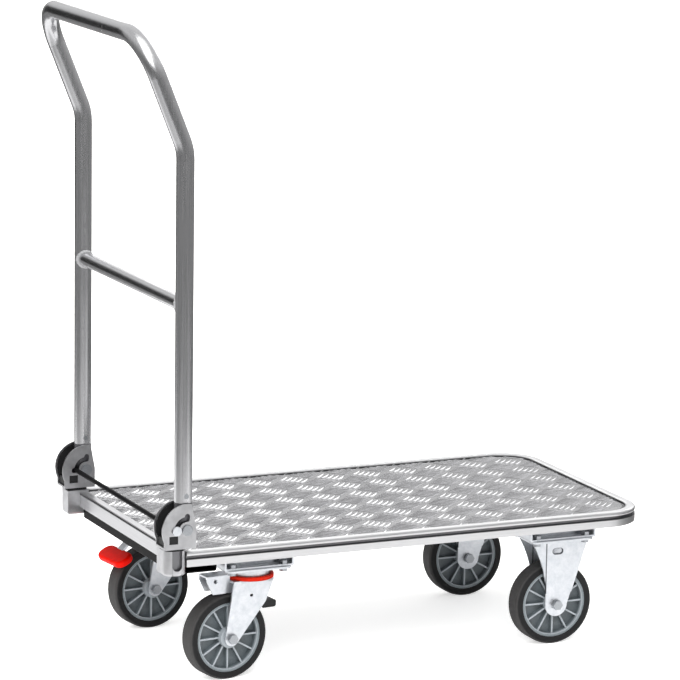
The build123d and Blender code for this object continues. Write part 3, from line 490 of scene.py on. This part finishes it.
def bright_zinc(name, fork=None):
    """Bright zinc plating; on the fixed fork of that name, its step and the rim of its slot get painted
    shade.
    """
    zinc, tree, shader, place = new_finish(name)
    scaled = add(tree, "Mapping", {"Vector": place, "Scale": spot_scale(9, 9, 9)})
    spangle = add(tree, "TexNoise", {"Vector": scaled, "Scale": 1.0, "Detail": 4.0, "Roughness": 0.6})
    tone = add(tree, "ValToRGB", {"Fac": spangle}, two_tones("c8ccd1", "dee0e4"))
    if fork:
        low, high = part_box(fork)
        axle_low, axle_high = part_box(fork.replace("fixed_fork", "axle_front"))
        slot_middle = ((axle_low.x + axle_high.x) / 2, 0, high.z - slot_drop)
        moved = add(tree, "VectorMath", {0: place, 1: slot_middle}, operation="SUBTRACT")
        away = add(tree, "SeparateXYZ", {"Vector": moved})
        along, rise = away.outputs["X"], away.outputs["Z"]
        rear = add(tree, "MapRange", {
            "Value": along, "From Min": step_rear, "From Max": step_rear + rear_fade})
        front = add(tree, "MapRange", {
            "Value": along, "From Min": step_front + front_fade, "From Max": step_front})
        under = add(tree, "MapRange", {
            "Value": rise, "From Min": step_top, "From Max": step_top - top_fade})
        line = add(tree, "Math", {0: rear, 1: front}, operation="MULTIPLY")
        line = add(tree, "Math", {0: line, 1: under}, operation="MULTIPLY")
        size = add(tree, "VectorMath", {0: moved, 1: (1, 0, 1)}, operation="MULTIPLY")
        size = add(tree, "VectorMath", {0: size}, operation="ABSOLUTE")
        over = add(tree, "VectorMath", {0: size, 1: (slot_half, 0, 0)}, operation="SUBTRACT")
        over = add(tree, "VectorMath", {0: over, 1: (0, 0, 0)}, operation="MAXIMUM")
        reach = add(tree, "VectorMath", {0: over}, operation="LENGTH").outputs["Value"]
        rim = add(tree, "MapRange", {
            "Value": reach, "From Min": rim_outer, "From Max": rim_outer - rim_fade})
        step_and_slot_shade = add(tree, "Math", {0: line, 1: rim}, operation="MAXIMUM")
        # Painted shade: the step and the rim round the slot are mixed towards this grey
        tone = add(tree, "MixRGB", {"Fac": step_and_slot_shade, "Color1": tone, "Color2": linear("5a5d61")})
    rough = add(tree, "MapRange", {"Value": spangle, "To Min": 0.24, "To Max": 0.38})
    lift = add(tree, "Bump", {"Height": spangle, "Strength": 0.04, "Distance": 0.0005})
    fill(tree, shader, {"Base Color": tone, "Metallic": 0.85, "Roughness": rough, "Normal": lift})
    return zinc


zinc = bright_zinc("bright_zinc_plated_steel")
fixed_forks = ("fixed_fork_left", "fixed_fork_right")
fork_finish = {fork: bright_zinc("bright_zinc_plated_" + fork, fork) for fork in fixed_forks}
print("finish:", zinc.name, "and one for each of", len(fork_finish), "fixed forks")

# %% [markdown]
# ### Weld and fasteners
# A weld on aluminium freezes in bright frosty ripples. Bolts, pins and rivets are turned or headed
# steel with zinc on it, duller than the pressed parts. Both are small in the picture, so a fine
# noise in tone and roughness is enough and a bump would not show.

# %% Weld bead
# Frost that scatters the light, drawn coarser than real to show
weld, tree, shader, place = new_finish("frosty_aluminium_weld")
scaled = add(tree, "Mapping", {"Vector": place, "Scale": spot_scale(0.9, 0.9, 0.9)})
frost = add(tree, "TexNoise", {"Vector": scaled, "Scale": 1.0, "Detail": 3.0})
tone = add(tree, "ValToRGB", {"Fac": frost}, two_tones("b2b2b4", "d2d2d4"))
rough = add(tree, "MapRange", {"Value": frost, "To Min": 0.4, "To Max": 0.55})
fill(tree, shader, {"Base Color": tone, "Metallic": 0.75, "Roughness": rough})
print("finish:", weld.name)

# %% Zinc-plated fasteners
# Duller metal with turning marks, drawn coarser than real to show
fastener, tree, shader, place = new_finish("zinc_plated_fastener_steel")
scaled = add(tree, "Mapping", {"Vector": place, "Scale": spot_scale(1.0, 1.0, 0.4)})
marks = add(tree, "TexNoise", {"Vector": scaled, "Scale": 1.0, "Detail": 2.0})
tone = add(tree, "ValToRGB", {"Fac": marks}, two_tones("9fa2a6", "bcbfc3"))
rough = add(tree, "MapRange", {"Value": marks, "To Min": 0.25, "To Max": 0.42})
fill(tree, shader, {"Base Color": tone, "Metallic": 1.0, "Roughness": rough})
print("finish:", fastener.name)

# %% [markdown]
# ### Black and red plastics, black rod
# Liners, pads and stops are moulded polyamide, the lock rod and the rear beam are powder coated,
# and the pedal and the swivel rings are moulded in red. The black pads and liners of the hinges and
# the black rear beam also stand for the deep shade in the hinge gaps and under the rear rail: painted
# shade. Black parts lose their shape when they are pure black, so each has a fine texture that breaks
# its sheen.

# %% Black moulded plastic
# Deep black with a moulded texture, drawn coarser than real to show
black_plastic, tree, shader, place = new_finish("black_moulded_polyamide")
scaled = add(tree, "Mapping", {"Vector": place, "Scale": spot_scale(0.7, 0.7, 0.7)})
texture = add(tree, "TexNoise", {"Vector": scaled, "Scale": 1.0, "Detail": 2.0})
tone = add(tree, "ValToRGB", {"Fac": texture}, two_tones("121213", "1c1c1d"))
rough = add(tree, "MapRange", {"Value": texture, "To Min": 0.38, "To Max": 0.52})
lift = add(tree, "Bump", {"Height": texture, "Strength": 0.15, "Distance": 0.0003})
fill(tree, shader, {"Base Color": tone, "Specular IOR Level": 0.3, "Roughness": rough, "Normal": lift})
print("finish:", black_plastic.name)

# %% Black coated rod
# An even orange-peel skin, drawn at its real size, with a soft shine
black_rod, tree, shader, place = new_finish("black_powder_coated_rod")
scaled = add(tree, "Mapping", {"Vector": place, "Scale": spot_scale(1.2, 1.2, 1.2)})
peel = add(tree, "TexNoise", {"Vector": scaled, "Scale": 1.0, "Detail": 1.0})
tone = add(tree, "ValToRGB", {"Fac": peel}, two_tones("0b0b0c", "121213"))
rough = add(tree, "MapRange", {"Value": peel, "To Min": 0.42, "To Max": 0.55})
lift = add(tree, "Bump", {"Height": peel, "Strength": 0.1, "Distance": 0.0003})
fill(tree, shader, {"Base Color": tone, "Specular IOR Level": 0.06, "Roughness": rough, "Normal": lift})
print("finish:", black_rod.name)

# %% Red moulded plastic
# Signal red with the faintest flow clouds; the ring in the swivel head gets a deeper red, painted shade
# from the swivel plate above it
def moulded_red(name, dark, light):
    """Red plastic between two tones."""
    red, tree, shader, place = new_finish(name)
    scaled = add(tree, "Mapping", {"Vector": place, "Scale": spot_scale(6, 6, 6)})
    flow = add(tree, "TexNoise", {"Vector": scaled, "Scale": 1.0, "Detail": 3.0})
    tone = add(tree, "ValToRGB", {"Fac": flow}, two_tones(dark, light))
    rough = add(tree, "MapRange", {"Value": flow, "To Min": 0.36, "To Max": 0.48})
    fill(tree, shader, {"Base Color": tone, "Specular IOR Level": 0.06, "Roughness": rough})
    return red


red_pedal = moulded_red("red_moulded_pedal_plastic", "c40a01", "d41103")
shaded_red_ring = moulded_red("red_moulded_ring_plastic", "a81a0a", "bb220e")
print("finish:", red_pedal.name, "and", shaded_red_ring.name)

# %% [markdown]
# ### Wheels
# Each wheel has a tread of grey non-marking rubber on a ribbed hub of filled polyamide. Rubber is
# dusted lighter where it has rolled, and a hub is rubbed lighter on the edges of its ribs, with painted
# shade in its pockets and under its rim. Both follow the wheel, so the material first works out how
# far a point is from the axle and from the wheel's middle plane. Painted vertices could hold the same,
# but the CAD mesh stays as it is.

# %% Place on a wheel
# Turn of each wheel about the vertical at rest, in degrees
rest_yaw = {"rear_left": 7, "rear_right": 7, "front_left": 0, "front_right": 0}


def wheel_place(tree, place, wheel):
    """Distance from a wheel's axle and from its middle plane, in metres."""
    low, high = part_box("hub_" + wheel)
    moved = add(tree, "VectorMath", {0: place, 1: (low + high) / 2}, operation="SUBTRACT")
    back = math.radians(-rest_yaw[wheel])
    turned = add(tree, "VectorRotate", {"Vector": moved, "Angle": back}, rotation_type="Z_AXIS")
    parts = add(tree, "SeparateXYZ", {"Vector": turned})
    depth = add(tree, "Math", {0: parts.outputs["Y"]}, operation="ABSOLUTE")
    flat = add(tree, "CombineXYZ", {"X": parts.outputs["X"], "Y": parts.outputs["Z"]})
    radius = add(tree, "VectorMath", {0: flat}, operation="LENGTH").outputs["Value"]
    return radius, depth


print("wheels:", list(rest_yaw))

# %% Grey rubber tread
# Matt dark grey, dusted lighter on the tread
# Distances from the axle between which the dark flank turns into the dusty tread
flank_radius, tread_radius = 0.0585, 0.0622


def rubber_tread(wheel):
    """Rubber of one wheel: dark flanks, dusty tread."""
    rubber, tree, shader, place = new_finish("grey_non_marking_rubber_" + wheel)
    radius = wheel_place(tree, place, wheel)[0]
    scaled = add(tree, "Mapping", {"Vector": place, "Scale": spot_scale(5, 5, 5)})
    dust_and_shade = add(tree, "TexNoise", {"Vector": scaled, "Scale": 1.0, "Detail": 5.0, "Roughness": 0.65})
    rolled = add(tree, "MapRange", {"Value": radius, "From Min": flank_radius, "From Max": tread_radius})
    amount = add(tree, "Math", {0: dust_and_shade, 1: 0.5, 2: rolled}, operation="MULTIPLY_ADD", use_clamp=True)
    greys = [(0.15, linear("111112")), (0.5, linear("1b1b1c")), (1.0, linear("373636"))]
    tone = add(tree, "ValToRGB", {"Fac": amount}, greys)
    rough = add(tree, "MapRange", {"Value": dust_and_shade, "To Min": 0.5, "To Max": 0.7})
    lift = add(tree, "Bump", {"Height": dust_and_shade, "Strength": 0.12, "Distance": 0.0005})
    fill(tree, shader, {"Base Color": tone, "Specular IOR Level": 0.3, "Roughness": rough, "Normal": lift})
    return rubber


wheel_finish = {"tyre_" + wheel: rubber_tread(wheel) for wheel in rest_yaw}
print("finish: rubber of", len(wheel_finish), "wheels")

# %% Grey moulded hub
# Blue-grey and silky, with painted shade in the pockets and under the rim, and lighter on the worn rib
# edges and at the outer rim
# Depths between which a rib rises out of its pocket
rib_foot, rib_edge = 0.0086, 0.0104
# Distances from the axle between which the ring under the rim gets painted shade
ring_start, ring_end, ring_fade = 0.0474, 0.051, 0.0006


def moulded_hub(wheel):
    """Plastic of one hub: painted shade in its pockets and under its rim, and worn, lighter edges on its
    ribs.
    """
    hub_plastic, tree, shader, place = new_finish("grey_moulded_hub_polyamide_" + wheel)
    radius, depth = wheel_place(tree, place, wheel)
    scaled = add(tree, "Mapping", {"Vector": place, "Scale": spot_scale(3, 3, 3)})
    silk = add(tree, "TexNoise", {"Vector": scaled, "Scale": 1.0, "Detail": 3.0})
    proud = add(tree, "MapRange", {"Value": depth, "From Min": rib_foot, "From Max": rib_edge})
    within = add(tree, "MapRange", {
        "Value": radius, "From Min": ring_start, "From Max": ring_start + ring_fade,
        "To Min": 1.0, "To Max": 0.25})
    beyond = add(tree, "MapRange", {
        "Value": radius, "From Min": ring_end, "From Max": ring_end + ring_fade})
    # Painted shade: the pockets and the ring under the rim stay darker; the proud rib edges are lighter
    # from wear
    clear_of_rim_shade = add(tree, "Math", {0: within, 1: beyond}, operation="MAXIMUM")
    wear_and_shade = add(tree, "Math", {0: proud, 1: clear_of_rim_shade}, operation="MULTIPLY")
    amount = add(tree, "Math", {0: silk, 1: 0.3, 2: wear_and_shade}, operation="MULTIPLY_ADD", use_clamp=True)
    greys = [(0.1, linear("585f63")), (0.3, linear("656d71")), (1.0, linear("90969b"))]
    tone = add(tree, "ValToRGB", {"Fac": amount}, greys)
    rough = add(tree, "MapRange", {"Value": silk, "To Min": 0.36, "To Max": 0.5})
    fill(tree, shader, {"Base Color": tone, "Roughness": rough})
    return hub_plastic


for wheel in rest_yaw:
    wheel_finish["hub_" + wheel] = wheel_finish["bush_" + wheel] = moulded_hub(wheel)
print("finishes:", len(bpy.data.materials))

# %% [markdown]
# ## Dressing the parts
# A CAD part keeps its mesh and only gets its finish. That could be done part by part in the
# Material tab. Here the start of a part's name picks the finish, so the left and right parts share
# one line, and whatever is not listed is a fastener.

# %% Give each part its finish
finish_of = {
    "push_tube": drawn_tube, "cross_brace": drawn_tube,
    "edge_frame": side_profile, "rear_rail": shaded_rear_profile, "deck_plate": tread_plate,
    **bracket_finish, "hinge_bracket": cast, "leg_foot": shaded_cast,
    "swivel_plate": zinc, "swivel_fork": zinc, **fork_finish, "brake_lever": zinc,
    "rear_cross_member": zinc, "front_cross_member": zinc, "rod_caps": zinc,
    # The black pads and liners of the hinges and the black rear beam are also painted shade for the hinge
    # gaps and the space under the rear rail
    "hinge_pad": black_plastic, "hinge_trim": black_plastic, "stop_block": black_plastic,
    "fork_buffer": black_plastic, "release_rod": black_rod, "rear_beam": black_rod,
    "dust_ring": shaded_red_ring, "brake_pedal": red_pedal,
    **wheel_finish,
}
for name, part in nodes.items():
    finish = next((m for start, m in finish_of.items() if name.startswith(start)), fastener)
    for slot in part.material_slots:
        slot.material = finish
print("dressed:", len(nodes))

# %% [markdown]
# ## Tread bars
# The deck is five-bar tread plate: groups of five raised bars stand at 45 degrees, and each group
# is square to its neighbours, so shoes and boxes grip in every direction. The bars could be a
# bump in the material, but they catch the light on their flanks and cast small shadows, so they
# are real shapes: one bar is modelled from a circle, and arrays repeat it.

# %% One tread bar
def select_only(piece):
    """Makes one piece the active and only selected one."""
    bpy.ops.object.select_all(action="DESELECT")
    piece.select_set(True)
    bpy.context.view_layer.objects.active = piece


def repeat(piece, count, step):
    """An array of copies at a constant step, applied."""
    array = piece.modifiers.new("copies", "ARRAY")
    array.use_relative_offset = False
    array.use_constant_offset = True
    array.constant_offset_displace = step
    array.count = count
    bpy.ops.object.modifier_apply(modifier=array.name)


bar_length, bar_width, bar_rise, bar_pitch, group_pitch = 0.037, 0.005, 0.0012, 0.0084, 0.061
# Share of the rise, then what is left of the length and of the width at each step up
bar_steps = ((0.55, 0.97, 0.78), (0.3, 0.94, 0.58), (0.15, 0.86, 0.4))
bpy.ops.object.select_all(action="DESELECT")
bpy.ops.mesh.primitive_circle_add(vertices=14, radius=0.5, fill_type="NGON", location=(0, 0, 0))
bars = bpy.context.active_object
bars.name = "tread_bars"
bpy.ops.object.mode_set(mode="EDIT")
bpy.ops.mesh.select_all(action="SELECT")
bpy.ops.transform.resize(value=(bar_length, bar_width, 1), center_override=(0, 0, 0))
for rise, along, across in bar_steps:
    bpy.ops.mesh.extrude_region_move(TRANSFORM_OT_translate={"value": (0, 0, rise * bar_rise)})
    bpy.ops.transform.resize(value=(along, across, 1), center_override=(0, 0, 0))
bpy.ops.mesh.select_all(action="SELECT")
bpy.ops.mesh.normals_make_consistent(inside=False)
bpy.ops.object.mode_set(mode="OBJECT")
print("one bar:", len(bars.data.polygons), "faces,", [round(v * 1000, 1) for v in bars.dimensions], "mm")

# %% Groups of five, crossed
# The first lattice leans up to the right in the photograph, the second stands between its groups
bars_in_group, groups_along, groups_across = 5, 14, 8
lattice_x, lattice_y = -0.372, 0.036 - groups_across // 2 * group_pitch
crossed = bars.copy()
crossed.data = bars.data.copy()
bpy.context.collection.objects.link(crossed)
for piece, lean, shift in ((bars, 45, 0), (crossed, -45, group_pitch / 2)):
    select_only(piece)
    angle = math.radians(lean)
    side_step = Vector((-math.sin(angle), math.cos(angle), 0)) * bar_pitch
    piece.rotation_euler.z = angle
    first_bar = bars_in_group // 2 * side_step
    piece.location = Vector((lattice_x + shift, lattice_y + shift, deck_high.z)) - first_bar
    bpy.ops.object.transform_apply(location=True, rotation=True, scale=True)
    repeat(piece, bars_in_group, side_step)
    repeat(piece, groups_along, (group_pitch, 0, 0))
    repeat(piece, groups_across, (0, group_pitch, 0))
bars.select_set(True)
bpy.context.view_layer.objects.active = bars
bpy.ops.object.join()
print("bars before trimming:", len(bars.data.polygons), "faces")

# %% Trim the bars to the sheet
# The sheet is cut after rolling, so bars on its edge are cut through; a bar that would stand on a
# corner post or past a round corner is taken away whole
edge_gap, notch_margin, sharp_from = 0.0004, 0.02, 42
bpy.ops.object.mode_set(mode="EDIT")
for edge, way in ((deck_low, -1), (deck_high, 1)):
    for normal in (Vector((1, 0, 0)), Vector((0, 1, 0))):
        bpy.ops.mesh.select_all(action="SELECT")
        cut_at = edge - way * normal * edge_gap
        bpy.ops.mesh.bisect(plane_co=cut_at, plane_no=normal * way, use_fill=True, clear_outer=True)
bpy.ops.mesh.select_all(action="DESELECT")
bpy.ops.object.mode_set(mode="OBJECT")
bracket_low, bracket_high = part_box("corner_bracket_left")
for point in bars.data.vertices:
    x, y = point.co.x, abs(point.co.y)
    in_notch = x < bracket_high.x - notch_margin and y > bracket_low.y + notch_margin
    over_round = (x - deck_high.x + deck_round, y - deck_high.y + deck_round)
    in_corner = min(over_round) > 0 and math.hypot(*over_round) > deck_round - edge_gap
    point.select = in_notch or in_corner
bpy.ops.object.mode_set(mode="EDIT")
bpy.ops.mesh.select_linked()
bpy.ops.mesh.delete(type="VERT")
bpy.ops.object.mode_set(mode="OBJECT")
bpy.ops.object.shade_smooth_by_angle(angle=math.radians(sharp_from))
bars.data.materials.append(tread_plate)
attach(bars, "platform")
print("bars on the deck:", len(bars.data.polygons), "faces")

# %% [markdown]
# ## Weld beads
# The brace is welded to both legs. A weld bead is a rounded, rippled fillet that follows the
# saddle-shaped joint of two tubes. It could be a curve with a bevel, but a torus already is a ring:
# its points are slid along the brace until they lie on the leg, and every ripple swells it a little.

# %% Weld bead of the left leg
tube_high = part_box("push_tube")[1]
brace_low, brace_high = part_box("cross_brace")
brace_radius = (brace_high.x - brace_low.x) / 2
brace_axis = (brace_low + brace_high) / 2
# Radius of a leg, and how near to its edge the bead may come
leg_radius, leg_margin = 0.013, 0.0015
leg_side = tube_high.y - leg_radius
# How far the ring stands off the brace, its thickness, and the height and number of its ripples
bead_lift, bead_radius, ripple_height, ripple_count = 0.0004, 0.003, 0.16, 18
bpy.ops.object.select_all(action="DESELECT")
bpy.ops.mesh.primitive_torus_add(
    major_segments=72, minor_segments=10, major_radius=brace_radius + bead_lift, minor_radius=bead_radius,
    rotation=(math.radians(90), 0, 0), location=(brace_axis.x, 0, brace_axis.z))
bead = bpy.context.active_object
bead.name = "weld_bead_left"
bpy.ops.object.transform_apply(location=True, rotation=True, scale=True)
for point in bead.data.vertices:
    out = Vector((point.co.x - brace_axis.x, 0, point.co.z - brace_axis.z))
    ripple = 1 + ripple_height * math.sin(ripple_count * math.atan2(out.z, out.x))
    ring = out.normalized() * (brace_radius + bead_lift)
    ring_x = min(abs(ring.x), leg_radius - leg_margin)
    saddle = leg_side - math.sqrt(leg_radius ** 2 - ring_x ** 2)
    slid = Vector((0, saddle - brace_axis.y + point.co.y * ripple, 0))
    point.co = brace_axis + ring + (out - ring) * ripple + slid
select_only(bead)
bpy.ops.object.shade_smooth()
bead.data.materials.append(weld)
print("weld ring of", round(2000 * brace_radius, 1), "mm")

# %% Weld bead of the right leg
# A mirrored copy, with its faces turned outwards again
far_bead = bead.copy()
far_bead.data = bead.data.copy()
far_bead.name = "weld_bead_right"
bpy.context.collection.objects.link(far_bead)
select_only(far_bead)
far_bead.scale.y = -1
bpy.ops.object.transform_apply(location=True, rotation=True, scale=True)
bpy.ops.object.mode_set(mode="EDIT")
bpy.ops.mesh.select_all(action="SELECT")
bpy.ops.mesh.normals_make_consistent(inside=False)
bpy.ops.object.mode_set(mode="OBJECT")
for piece in (bead, far_bead):
    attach(piece, "handle")
print("weld beads:", bead.name, "and", far_bead.name)

# %% [markdown]
# ## Size of the dressed trolley
# The last cell measures the box of the dressed trolley.

# %% Finish
low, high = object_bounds()
